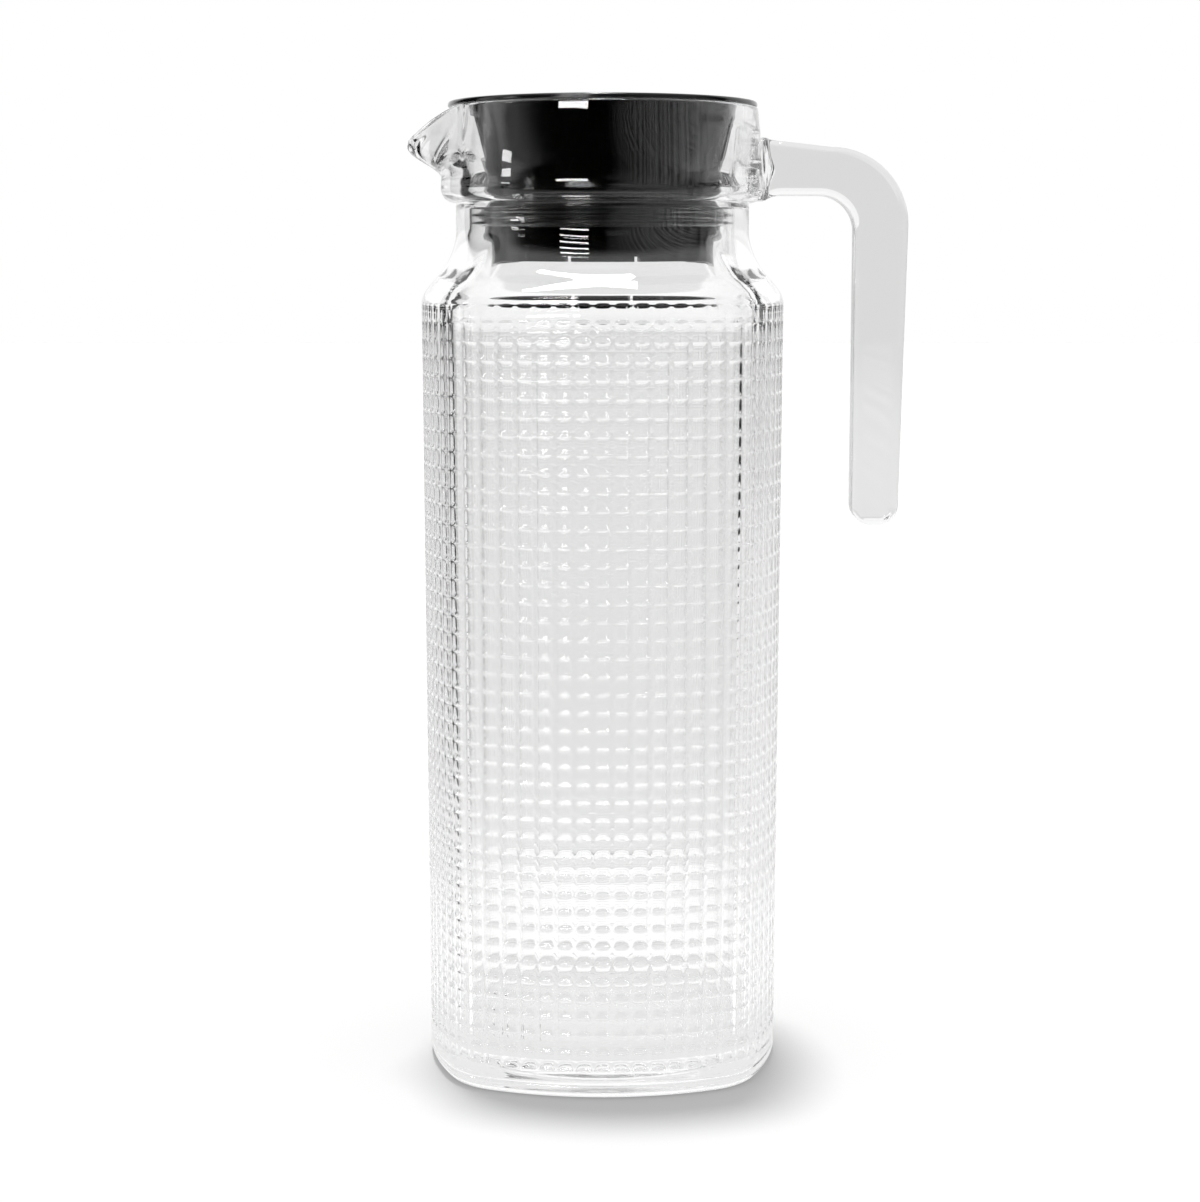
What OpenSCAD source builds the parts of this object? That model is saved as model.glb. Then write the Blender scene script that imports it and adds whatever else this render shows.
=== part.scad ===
// Square glass water jug with a pouring lip, a fused side handle and a turning press-in lid.
// The axis of the neck is Z, the table is z = 0, the lip points to -X and the handle to +X.

/* [Vessel] */
// Width across two opposite faces, at the top of the panels
body_w = 96.6; // [86:0.2:110]
// Width across two opposite faces, at the foot
foot_w = 94.8; // [86:0.2:110]
// Radius of the outward bow of each face
face_r = 78; // [62:1:140]
// Radius of the four upright corners
corner_r = 19; // [14:0.5:26]
// Thickness of the side walls
wall_t = 3.6; // [2.6:0.1:5]
// Thickness of the glass in the floor, above the table
floor_t = 8.5; // [6:0.5:12]
// Radius of the rounding at the edge of the foot
foot_round = 3.4; // [2:0.2:5]
// Radius of the rounding between the floor and the walls inside
floor_round = 7; // [4:0.5:9]
// Depth of the shallow hollow under the foot
push_up = 1.6; // [0.8:0.1:3]
// Diameter of the hollow under the foot
push_up_d = 66; // [50:1:72]
// Height of the top of the patterned panels above the table
panel_top = 206; // [160:1:240]
// Height of the shoulder, from the panels to the waist
shoulder_h = 19; // [14:1:28]

/* [Neck] */
// Outer diameter of the waist below the collar
waist_d = 78; // [76:0.5:84]
// Height of the waist
waist_h = 7; // [7:0.5:12]
// Bore through the waist, where the seal of the lid sits
bore_d = 70.2; // [68:0.1:71.4]
// Outer diameter of the collar at its lower edge
collar_d = 86; // [83:0.5:92]
// Outer diameter of the rim
rim_d = 82.6; // [81:0.2:90]
// Thickness of the glass at the rim
rim_t = 3.7; // [3:0.1:4.5]
// Height of the collar, from the waist to the rim
collar_h = 25; // [24:0.5:34]
// Height of the rounding under the collar
collar_round = 3.6; // [1:0.1:4]
// Radius of the rounded edges of the rim
rim_round = 0.8; // [0.4:0.1:1.1]

/* [Lip] */
// Reach of the pouring lip beyond the rim
lip_reach = 10.4; // [5:0.2:14]
// Drop of the tip of the lip below the rim
lip_drop = 8.6; // [5:0.2:10]
// Width of the lip where it leaves the rim
lip_w = 44; // [30:1:56]
// Depth, below the rim, at which the lip starts to leave the collar
lip_depth = 18.6; // [15:0.2:20]

/* [Handle] */
// Drop of the top of the arm below the rim
arm_drop = 8.8; // [5:0.1:9.5]
// Height of the arm
arm_h = 14.2; // [11:0.1:14.5]
// Drop of the top of the arm from the neck to the bend
arm_slope = 1.5; // [0:0.1:2.5]
// Reach of the handle beyond the rim
handle_reach = 39.8; // [36:0.2:52]
// Length of the handle, from the top of the arm to the lower end
handle_len = 102; // [80:1:120]
// Width of the leg below the bend
leg_w = 14; // [12.5:0.1:16]
// Width of the leg at its lower end
leg_end_w = 12.4; // [11.6:0.1:14]
// Outer radius of the bend
bend_r = 20.5; // [18:0.5:26]
// Inner radius of the bend
bend_in_r = 9.5; // [6:0.5:12]
// Thickness of the handle, front to back
handle_t = 12; // [9:0.5:16]
// Radius of the long edges of the handle
handle_edge_r = 1.8; // [1:0.1:4]
// Radius of the corners at the lower end
handle_end_r = 5.2; // [3:0.1:5.6]
// Growth of the handle at the front and the back, where it is fused to the collar
root_flare = 2.6; // [1:0.1:4]
// Rise of the top of the arm where it is fused to the collar
root_rise = 0.8; // [0:0.1:3]
// Fall of the underside of the arm where it is fused to the collar
root_fall = 1.4; // [0:0.1:1.8]
// Length over which the handle grows towards the collar
root_len = 4.5; // [3:0.5:6]

/* [Lid] */
// Diameter of the disc
disc_d = 82; // [80:0.2:88]
// Thickness of the disc
disc_t = 1.4; // [1.2:0.1:3]
// Radius of the rounded upper edge of the disc
disc_edge = 0.7; // [0.3:0.1:0.9]
// Depth of the shallow recess in the top of the disc
recess_h = 0.3; // [0.2:0.1:0.6]
// Width of the raised border round the recess
border_w = 5; // [3:0.5:8]
// Gap between the skirt and the inside of the rim, under the disc
skirt_gap = 1.6; // [1:0.1:4]
// Space between the straight lower skirt and the bore of the waist, for the ring
skirt_room = 3.7; // [3.2:0.1:5]
// Height of the tapered upper part of the skirt
taper_h = 21; // [19:0.5:23]
// Length of the skirt below the disc
skirt_len = 41.4; // [39:0.2:48]
// Thickness of the skirt
skirt_t = 2.4; // [2:0.1:2.8]
// Height of the windows in the skirt
window_h = 12; // [8:0.5:14]
// Width of the pouring window
window_w = 30; // [20:1:36]
// Number of slots in the straining window
slot_count = 7; // [3:1:9]
// Width of one straining slot
slot_w = 2; // [1.4:0.1:2.4]
// Distance from one straining slot to the next
slot_pitch = 4.2; // [3.6:0.1:5]
// Height of the small notches in the lower edge of the skirt
notch_h = 3; // [2:0.1:4]
// Width of the small notches
notch_w = 1.5; // [1:0.1:2.5]

/* [Seal] */
// Height of the sealing ring
seal_h = 6.4; // [5:0.1:6.8]
// Depth of the groove in the skirt that holds the ring
groove_depth = 0.9; // [0.5:0.1:1.2]
// Thickness of the ring between its fins
seal_t = 1.9; // [1.4:0.1:2.4]
// Number of fins
fin_count = 3; // [2:1:4]
// Thickness of a fin at its edge
fin_t = 0.6; // [0.3:0.1:0.8]
// Gap between a fin and the bore of the waist
fin_gap = 0.08; // [0.05:0.01:0.2]
// Running gap between the ring and its groove
groove_gap = 0.05; // [0.03:0.01:0.1]

/* [Hidden] */

// Number of points round the vessel, and how far they crowd towards the lip, in degrees
side_count = 80;
crowding = 20;
// Steps round one corner of the handle's section, round its bend and round its lower end
corner_steps = 4;
bend_steps = 14;
end_steps = 4;
// Facets that stand for a full turn in curved surfaces
turn_facets = 96;
// Overrun of every cut
over = 1;
// Glass that the bore takes off the inside of the waist
bore_stock = 0.3;
// Gap between the top of a window and the disc
window_land = 4;
// Angles, from the front and from the back, at which the skirt is notched
notch_angles = [-35, -16, 16, 35];
// Powers that shape the lip: its point in plan, its swell out of the collar and the dip of its edge
lip_point = 2.4;
lip_swell = 1.8;
lip_dip = 1.25;
// Share of the lip's depth in which it reaches its full length
lip_full_share = 0.86;
// Steps of a quarter round, in degrees
quarter = [0, 30, 60, 90];

// Outline of the shoulder: share of its height, share of the way in to the waist
shoulder_shares = [[0.12, 0.04], [0.26, 0.16], [0.42, 0.35], [0.6, 0.55], [0.8, 0.77], [1, 1]];
// Outline of the collar: share of its height, share of the way in from its lower edge to the rim
collar_shares = [
    [0.18, 0], [0.31, 0.13], [0.42, 0.24], [0.53, 0.37],
    [0.64, 0.52], [0.76, 0.7], [0.88, 0.86]
];
// Inside of the collar: share of its height, share of the way out from the bore to the rim
throat_shares = [
    [0.86, 0.94], [0.74, 0.88], [0.62, 0.82], [0.51, 0.75],
    [0.4, 0.66], [0.25, 0.45], [0.1, 0.18]
];
// Points of the arm beside the collar: share of the way from inside the collar to where the handle is plain
root_shares = [0, 0.56, 0.66, 0.76, 0.88, 1];

waist_z = panel_top + shoulder_h;
collar_z = waist_z + waist_h;
rim_z = collar_z + collar_h;
waist_r = waist_d / 2;
bore_r = bore_d / 2;
rim_r = rim_d / 2;
rim_in_r = rim_r - rim_t;
inner_top = panel_top - wall_t / 2;
throat_w = lip_w - 2 * rim_t;

seal_z = waist_z + (waist_h - seal_h) / 2;
seal_top = seal_z + seal_h;
skirt_r = bore_r - skirt_room;
skirt_top_r = rim_in_r - skirt_gap;
groove_r = skirt_r - groove_depth;
taper_z = rim_z - taper_h;
skirt_z = rim_z - skirt_len;
window_z = rim_z - window_land - window_h;

arm_top = rim_z - arm_drop;
arm_low = arm_top - arm_h;
leg_out_x = rim_r + handle_reach;
leg_in_x = leg_out_x - leg_w;
leg_z = arm_top - handle_len;
bend_x = leg_out_x - bend_r;
root_x = waist_r - wall_t / 2;
plain_x = collar_d / 2 + root_len;

// Angles of the points round the vessel, crowded towards the lip at 180 degrees
angles = [for (i = [0 : side_count - 1]) let (u = 360 * i / side_count) u + crowding * sin(u)];

// Polar radius, at angle a, of a bowed square: half width w, corner radius c, face radius f
function bowed_r(a, w, c, f) =
    let (
        p = abs((a + 45) % 90 - 45),
        e = f - w,
        k = (sqrt(2 * pow(f - c, 2) - e * e) - e) / 2,
        turn = atan2(f * k / (f - c), f * (k + e) / (f - c) - e),
        d = k * sqrt(2)
    )
    p < turn
        ? sqrt(f * f - pow(e * sin(p), 2)) - e * cos(p)
        : sqrt(c * c - pow(d * sin(45 - p), 2)) + d * cos(45 - p);

// Half width of the vessel at height z
function half_w(z) = (foot_w + (body_w - foot_w) * min(z / panel_top, 1)) / 2;

// Ring of the vessel at height z, set in from the outside, and turned by the share q into a circle
function body_ring(z, inset, q = 0, round_r = 0) = [
    for (a = angles)
        let (r = (1 - q) * bowed_r(a, half_w(z) - inset, corner_r - inset, face_r - inset) + q * round_r)
        [r * cos(a), r * sin(a), z]
];

// How far the lip has grown at angle a: 0 beside it, 1 at its tip
function lip_share(a, w) =
    let (t = abs(a - 180) / asin(min(w / rim_d, 1)))
    t < 1 ? pow(cos(90 * t), lip_point) : 0;

// How far up the lip the height z is: 0 at its start, 1 at the rim
function rise_share(z) = min(max(1 - (rim_z - z) / lip_depth, 0), 1);

// Ring of the neck at height z, with a lip of width w drawn out of it
function neck_ring(z, r, w) =
    let (t = rise_share(z), lift = pow(sin(90 * min(t / lip_full_share, 1)), lip_swell))
    [
        for (a = angles)
            let (s = lip_share(a, w), out = r + lip_reach * s * lift)
            [out * cos(a), out * sin(a), z - lip_drop * pow(s, lip_dip) * t]
    ];

// Rounding under the collar, as [radius, height] at the angle q of its quarter round
function collar_edge(q) = [
    waist_r + (collar_d / 2 - waist_r) * sin(q),
    collar_z + collar_round * (1 - cos(q))
];

// Side of the collar at the shares s, as [radius, height]
function collar_side(s) = [(collar_d + s[1] * (rim_d - collar_d)) / 2, collar_z + s[0] * collar_h];

// Rings from the foot up the outside to the rim
outer_rings = concat(
    [for (q = quarter) body_ring(foot_round * (1 - cos(q)), foot_round * (1 - sin(q)))],
    [body_ring(panel_top, 0)],
    [
        for (s = shoulder_shares)
            body_ring(panel_top + s[0] * shoulder_h, s[1] * (body_w / 2 - waist_r), s[1], waist_r)
    ],
    [for (q = quarter) let (p = collar_edge(q)) neck_ring(p[1], p[0], lip_w)],
    [for (s = collar_shares) let (p = collar_side(s)) neck_ring(p[1], p[0], lip_w)],
    [for (q = quarter) neck_ring(rim_z - rim_round * (1 - sin(q)), rim_r - rim_round * (1 - cos(q)), lip_w)]
);

// Rings from the rim down the inside to the floor
inner_rings = concat(
    [
        for (q = quarter)
            neck_ring(rim_z - rim_round * (1 - cos(q)), rim_in_r + rim_round * (1 - sin(q)), throat_w)
    ],
    [
        for (s = throat_shares)
            neck_ring(collar_z + s[0] * collar_h, bore_r + s[1] * (rim_in_r - bore_r), throat_w)
    ],
    [neck_ring(collar_z, bore_r - bore_stock, throat_w)],
    [
        for (i = [len(shoulder_shares) - 1 : -1 : 0])
            let (s = shoulder_shares[i])
            body_ring(
                inner_top + s[0] * shoulder_h,
                wall_t + s[1] * (body_w / 2 - wall_t - bore_r),
                s[1],
                bore_r - bore_stock
            )
    ],
    [body_ring(inner_top, wall_t)],
    [for (q = quarter) body_ring(floor_t + floor_round * (1 - sin(q)), wall_t + floor_round * (1 - cos(q)))]
);

// Closed skin through a list of rings, with a flat polygon at each end
module skin(rings) {
    n = len(rings[0]);
    m = len(rings);
    sides = [
        for (k = [0 : m - 2])
            for (i = [0 : n - 1])
                let (j = (i + 1) % n, a = k * n + i, b = k * n + j, c = (k + 1) * n + j, d = (k + 1) * n + i)
                each [[a, d, c], [a, c, b]]
    ];
    low = [[for (i = [0 : n - 1]) i]];
    high = [[for (i = [n - 1 : -1 : 0]) (m - 1) * n + i]];
    polyhedron([for (r = rings) each r], concat(sides, low, high));
}

// Vessel: foot, walls, shoulder, waist, collar, rim and pouring lip in one piece of glass
module glass_body() {
    color([0.88, 0.92, 0.93, 0.45])
    difference() {
        skin(concat(outer_rings, inner_rings));
        waist_bore();
        push_up_hollow();
    }
}

// True bore through the waist, from the wider shoulder below to the wider collar above
module waist_bore() {
    translate([0, 0, waist_z - shoulder_h / 2])
        cylinder(h = shoulder_h / 2 + waist_h + collar_round, d = bore_d, $fn = turn_facets);
}

// Hollow under the foot, with a sloping edge
module push_up_hollow() {
    rotate_extrude($fn = turn_facets)
        polygon([
            [0, -over],
            [push_up_d / 2, -over],
            [push_up_d / 2, 0],
            [push_up_d / 2 - 2 * push_up, push_up],
            [0, push_up]
        ]);
}

// Outside of the neck as a round solid, which the handle is fused to
module neck_stock() {
    edge = [for (q = quarter) collar_edge(q)];
    side = [for (s = collar_shares) collar_side(s)];
    rotate_extrude($fn = turn_facets)
        polygon(concat([[0, waist_z], [waist_r, waist_z]], edge, side, [[rim_r, rim_z], [0, rim_z]]));
}

// How far the root of the handle has grown at the distance x from the axis: 1 at the collar, 0 along the arm
function root_share(x) = pow(min(1, (plain_x - x) / root_len), 2);

// Edge points of the handle in its own plane, from the neck to the lower end.
// Each is [outer point, inner point, growth of the thickness on each side].
handle_edges = concat(
    [
        for (s = root_shares)
            let (x = root_x + s * (plain_x - root_x), f = root_share(x))
            [[x, arm_top + root_rise * f], [x, arm_low - root_fall * f], root_flare * f]
    ],
    [
        for (i = [0 : bend_steps])
            let (a = 90 - 90 * i / bend_steps)
            [
                [bend_x + bend_r * cos(a), arm_top - arm_slope - bend_r * (1 - sin(a))],
                [leg_in_x - bend_in_r * (1 - cos(a)), arm_low - bend_in_r * (1 - sin(a))],
                0
            ]
    ],
    [
        for (i = [0 : end_steps])
            let (
                a = 90 * i / end_steps,
                z = leg_z + handle_end_r * (1 - sin(a)),
                cut = handle_end_r * (1 - cos(a))
            )
            [
                [leg_out_x - (leg_w - leg_end_w) - cut, z],
                [leg_in_x + cut, z],
                -handle_edge_r * (1 - cos(a))
            ]
    ]
);

// Section of the handle through an edge point: a rectangle with rounded corners
function handle_ring(p) =
    let (
        span = norm(p[0] - p[1]) / 2,
        mid = (p[0] + p[1]) / 2,
        dir = (p[0] - p[1]) / (2 * span),
        half_t = handle_t / 2 + p[2],
        e = min(handle_edge_r, span * 0.8)
    )
    [
        for (c = [0 : 3])
            for (k = [0 : corner_steps])
                let (
                    a = 90 * (c + k / corner_steps),
                    u = (c == 0 || c == 3 ? 1 : -1) * (span - e) + e * cos(a),
                    v = (c < 2 ? -1 : 1) * (half_t - e) - e * sin(a)
                )
                [mid[0] + u * dir[0], v, mid[1] + u * dir[1]]
    ];

// Handle: flat arm out from the collar, a round bend and a free leg down the side
module glass_handle() {
    color([0.86, 0.9, 0.91, 0.5])
    difference() {
        skin([for (p = handle_edges) handle_ring(p)]);
        neck_stock();
    }
}

// Disc of the lid, with a shallow recess in its top
module lid_disc() {
    color([0.06, 0.06, 0.07])
    rotate_extrude($fn = turn_facets)
        polygon(concat(
            [[0, rim_z + disc_t - recess_h]],
            [[disc_d / 2 - border_w - recess_h, rim_z + disc_t - recess_h]],
            [[disc_d / 2 - border_w, rim_z + disc_t]],
            [
                for (q = quarter)
                    [disc_d / 2 - disc_edge * (1 - sin(q)), rim_z + disc_t - disc_edge * (1 - cos(q))]
            ],
            [[disc_d / 2, rim_z]],
            [[0, rim_z]]
        ));
}

// Skirt of the lid, moulded in one with the disc: tapered above and straight below,
// with a groove for the ring, a window on each side and notches in its lower edge
module lid_skirt() {
    color([0.07, 0.07, 0.08])
    difference() {
        rotate_extrude($fn = turn_facets)
            polygon([
                [skirt_top_r, rim_z],
                [skirt_r, taper_z],
                [skirt_r, seal_top + groove_gap],
                [groove_r, seal_top + groove_gap],
                [groove_r, seal_z - groove_gap],
                [skirt_r, seal_z - groove_gap],
                [skirt_r, skirt_z],
                [skirt_r - skirt_t, skirt_z],
                [skirt_r - skirt_t, taper_z],
                [skirt_top_r - skirt_t, rim_z]
            ]);
        pour_window();
        strainer();
        skirt_notches();
    }
}

// Cut through one side of the skirt, of width w, centred on the distance y from the middle
module side_cut(y, w) {
    translate([skirt_r / 2, y - w / 2, window_z])
        cube([skirt_top_r + over - skirt_r / 2, w, window_h]);
}

// Cut for the pouring window, towards the lip
module pour_window() {
    mirror([1, 0, 0])
        side_cut(0, window_w);
}

// Cuts for the straining slots, opposite the pouring window
module strainer() {
    for (i = [0 : slot_count - 1])
        side_cut((i - (slot_count - 1) / 2) * slot_pitch, slot_w);
}

// Small notches in the lower edge of the skirt, at the front and at the back
module skirt_notches() {
    for (side = [-90, 90])
        for (a = notch_angles)
            rotate(side + a)
                translate([skirt_r - skirt_t - over, -notch_w / 2, skirt_z - over])
                    cube([skirt_t + 2 * over, notch_w, notch_h + over]);
}

// Soft ring in the groove of the skirt, with fins that meet the bore of the waist
module lid_seal() {
    in_r = groove_r + groove_gap;
    ring_r = in_r + seal_t;
    fin_r = bore_r - fin_gap;
    pitch = seal_h / fin_count;
    color([0.85, 0.87, 0.87, 0.7])
    rotate_extrude($fn = turn_facets)
        polygon(concat(
            [[in_r, seal_z], [ring_r, seal_z]],
            [
                for (i = [0 : fin_count - 1])
                    let (z = seal_z + pitch * (i + 0.5))
                    each [
                        [ring_r, z - 0.4 * pitch],
                        [fin_r, z - fin_t / 2],
                        [fin_r, z + fin_t / 2],
                        [ring_r, z + 0.4 * pitch]
                    ]
            ],
            [[ring_r, seal_top], [in_r, seal_top]]
        ));
}

glass_body();
glass_handle();
lid_disc();
lid_skirt();
lid_seal();
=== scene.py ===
from math import asin, cos, pi, radians, sin, sqrt

import bpy
import numpy as np
from bpy.props import FloatProperty, FloatVectorProperty, IntProperty, PointerProperty
from bpy.types import Operator, Panel, PropertyGroup
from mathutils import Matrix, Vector


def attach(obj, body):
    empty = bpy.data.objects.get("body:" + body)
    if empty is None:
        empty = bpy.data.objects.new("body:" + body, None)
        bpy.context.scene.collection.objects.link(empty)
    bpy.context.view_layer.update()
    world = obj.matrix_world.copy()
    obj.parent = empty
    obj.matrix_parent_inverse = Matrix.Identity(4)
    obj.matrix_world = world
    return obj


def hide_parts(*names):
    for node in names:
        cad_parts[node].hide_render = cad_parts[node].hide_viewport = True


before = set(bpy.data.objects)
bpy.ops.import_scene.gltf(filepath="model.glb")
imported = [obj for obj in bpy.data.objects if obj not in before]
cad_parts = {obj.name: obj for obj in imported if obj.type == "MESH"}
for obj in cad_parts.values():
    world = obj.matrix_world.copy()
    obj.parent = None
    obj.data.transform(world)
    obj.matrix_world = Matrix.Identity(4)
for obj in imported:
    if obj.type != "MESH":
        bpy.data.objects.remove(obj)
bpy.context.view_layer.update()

bl_info = {
    "name": "Square glass pitcher with a lid",
    "version": (1, 0, 0),
    "blender": (4, 5, 0),
    "location": "3D View > Sidebar > Pitcher",
    "description": "Builds a square pressed-glass pitcher with its handle, lid and sealing ring",
    "category": "Object",
}

# Places of the mesh lines across and up one square of the grid, from one ridge to the next
ACROSS_STEPS = (-1.0, -0.8, -0.72, -0.56, -0.3, 0.0, 0.3, 0.56, 0.72, 0.8)
UP_STEPS = (-1.0, -0.95, -0.87, -0.75, -0.52, 0.0, 0.52, 0.75, 0.87, 0.95)
# Share of a square's width that dips, between the upright bars of the grid
DIP_SHARE = 0.8
# Power of the dip's profile, from its flat middle to its steep edges
DIP_POWER = 4
# Shares of the full dip in the topmost rows, from the top down
TOP_ROW_SHARES = (0.2, 0.5, 0.8)
# Shoulder: share of its height, share of the way in to the waist
SHOULDER_SHARES = ((0, 0), (0.12, 0.04), (0.26, 0.16), (0.42, 0.35), (0.6, 0.55), (0.8, 0.77), (1, 1))
# Collar: share of its height, share of the way in from its lower edge to the rim
COLLAR_SHARES = ((0.18, 0), (0.31, 0.13), (0.42, 0.24), (0.53, 0.37), (0.64, 0.52), (0.76, 0.7), (0.88, 0.86))
# Throat: share of the collar's height, share of the way out from the bore to the rim
THROAT_SHARES = (
    (0, 0), (0.1, 0.18), (0.25, 0.45), (0.4, 0.66), (0.51, 0.75), (0.62, 0.82), (0.74, 0.88), (0.86, 0.94))
# Powers that shape the lip: its point in plan, its swell out of the collar and the dip of its edge
LIP_POINT, LIP_SWELL, LIP_DIP = 2.4, 1.8, 1.25
# Share of the lip's depth in which it reaches its full length
LIP_FULL_SHARE = 0.86
# Fine line above the foot: place across it, share of its depth
FOOT_LINE = ((-1, 0), (-0.5, 0.7), (0, 1), (0.5, 0.7), (1, 0))
# Angles at which a rounded edge has its points
QUARTER = np.linspace(0, pi / 2, 9)
# Rings in the shoulder and the throat, in the collar and in the plain inner wall
CURVE_RINGS, COLLAR_RINGS, WALL_RINGS = 30, 28, 24
# Steps in which the girth of the body is measured
GIRTH_STEPS = 14400
# Steepest slope of a smooth curve at a point, measured in the mean slopes beside it
STEEPEST = 3

# Handle: points round each corner of a section, and across its front and its back
CORNER_POINTS, FACE_POINTS = 10, 14
# Most of a section's half width that its rounded corners take
CORNER_SHARE = 0.8
# Rings in the handle's root, along the arm, round the bend, down the leg and round its end
ROOT_RINGS, ARM_RINGS, BEND_RINGS, LEG_RINGS, END_RINGS = 15, 7, 41, 13, 19
# Powers that shape the root: its rise and fall, its nose, its flare and the spacing of its rings
RISE_POWER, NOSE_POWER, FLARE_POWER, SPACING_POWER = 2, 2, 1.5, 1.6
# Rounds in which the root settles on the collar
SEAT_ROUNDS = 12

# Half the angle, at the slots and at the pouring window, in which the lines round the lid keep their Y
WINDOW_PART = radians(28)
# Notches in the skirt's lower edge, in degrees either way from straight behind and straight in front
NOTCH_PLACES = (-35, -16, 16, 35)
# Lines round the lid at the slots, at the pouring window and at each side between them
SLOT_LINES, WINDOW_LINES, SIDE_LINES = 16, 28, 72
# Share of the skirt's radius, less its wall, inside which these lines fan out from the axis
FAN_SHARE = 0.9
# Lower edge of the disc as a share of its upper one
LOWER_EDGE = 0.4
# Segments of the moulded edges, and least angle of an edge that is rounded
EDGE_SEGMENTS, EDGE_ANGLE = 2, radians(40)

# Fins of the ring: shares of their reach on each flank, and half their foot as a share of their pitch
FIN_SHARES, FIN_FOOT = (0.3, 0.65, 0.9), 0.4
# Edges of the ring as a share of a fin's thickness, steps round the ring, and least angle of a sharp edge
RING_EDGE, RING_STEPS, RING_SHARP = 0.25, 192, radians(50)

# Waves per metre in the glass of the vessel and of the handle, and finer waves as a multiple of them
VESSEL_WAVES, HANDLE_WAVES, FINE_WAVES = 70, 45, 4
# Noise between which the roughness of the glass drifts, and its least and most
GLASS_SPAN, GLASS_ROUGH = (0.35, 0.75), (0.012, 0.03)
# Noise between which the roughness of a moulded piece drifts, and its least and most share
CLOUD_SPAN, ROUGH_SHARES = (0.3, 0.7), (0.8, 1.25)
# Clouds per metre, darkest and palest shares of the colour, and grain: per metre, height, strength
PLASTIC_LOOK = (60, (0.7, 1.5), (2600, 0.00002, 0.6))
SILICONE_LOOK = (180, (0.92, 1), (3200, 0.00003, 0.8))
# How much light the silicone lets through, and its refractive index
SILICONE_CLEAR, SILICONE_IOR = 0.9, 1.41
# Colour sockets of a Mix node: its two inputs and its output
MIX_LOW, MIX_HIGH, MIX_OUT = 6, 7, 2

# Dark cards that the glass shows: angles from straight behind towards the handle, distance on the floor
SIDE_CARDS = (("left_card", -76, -42, 0.35), ("right_card", 74, 100, 1.2))
# Half the soft edge of a card in degrees, and its full distance as a multiple of its first
CARD_SOFT, CARD_FULL = 2, 1.2
# Streaks of the dim room in front: scale, noise between which they show, and their least and most
STREAK_SCALE, STREAK_SPAN, STREAK_LEVELS = 7.0, (0.4, 0.6), (0.1, 1.9)
# Shares of the table's radius: where the painted shade under the foot ends, and the softness of its rim
FOOT_SHADE, TABLE_RIM = (0.28, 0.4), 1.01
# Distances in metres over which the ground turns into the backdrop
GROUND_END = (1.8, 5.5)
# Floor of the dim room: Y at which it ends, and X over which it turns grey
ROOM_FLOOR_END, ROOM_FLOOR_GREY = (-0.3, -0.1), (0.02, 0.5)
# The same for the room itself, as parts of the view's direction, then its ceiling and the upper backdrop
ROOM_END, ROOM_GREY = (-0.3, 0.1), (0.05, 0.7)
CEILING_START, UPPER_START = (0.6, 0.75), (0.05, 0.07)

# Direction of the light from above
KEY_FROM = (-0.027, 0.093, 1)
# Columns of narrow lamps: place of the lowest, step up, number, width and height
FRONT_LAMPS = ((-0.4, -1.03, 0.33), 0.24, 5, 0.42, 0.045)
LEFT_LAMPS = ((-1.0, -0.35, 0.27), 0.14, 3, 0.14, 0.03)
# Point that the narrow lamps face
LAMP_AIM = (0, 0, 0.2)
# Lamp overhead: place, point that it faces, width and height
TOP_LAMP = ((-0.2, -0.3, 2), (-0.2, 0, 0.2), 1, 0.22)
# Width of the camera's sensor in millimetres, and how far it sees in metres
SENSOR_W, VIEW_END = 36, 50
# Faces of glass that light may cross, and mirror images that it may make
CROSSINGS, MIRRORINGS = 24, 16


def length(name, description, mm):
    """Length property, with its default given in millimetres"""
    return FloatProperty(name=name, description=description, default=mm / 1000, unit="LENGTH", precision=5)


def share(name, description, value):
    """Property between nought and one"""
    return FloatProperty(name=name, description=description, default=value, min=0, max=1, subtype="FACTOR")


def colour(name, description, value):
    """Colour property"""
    return FloatVectorProperty(
        name=name, description=description, default=value, min=0, max=1, subtype="COLOR")


def angle(name, description, degrees):
    """Angle property, with its default given in degrees"""
    return FloatProperty(name=name, description=description, default=radians(degrees), subtype="ANGLE")


def glow(name, description, value):
    """Brightness of a surface or strength of a light"""
    return FloatProperty(name=name, description=description, default=value, min=0)


def power(name, description, watts):
    """Power of a lamp"""
    return FloatProperty(name=name, description=description, default=watts, min=0, subtype="POWER")


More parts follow.
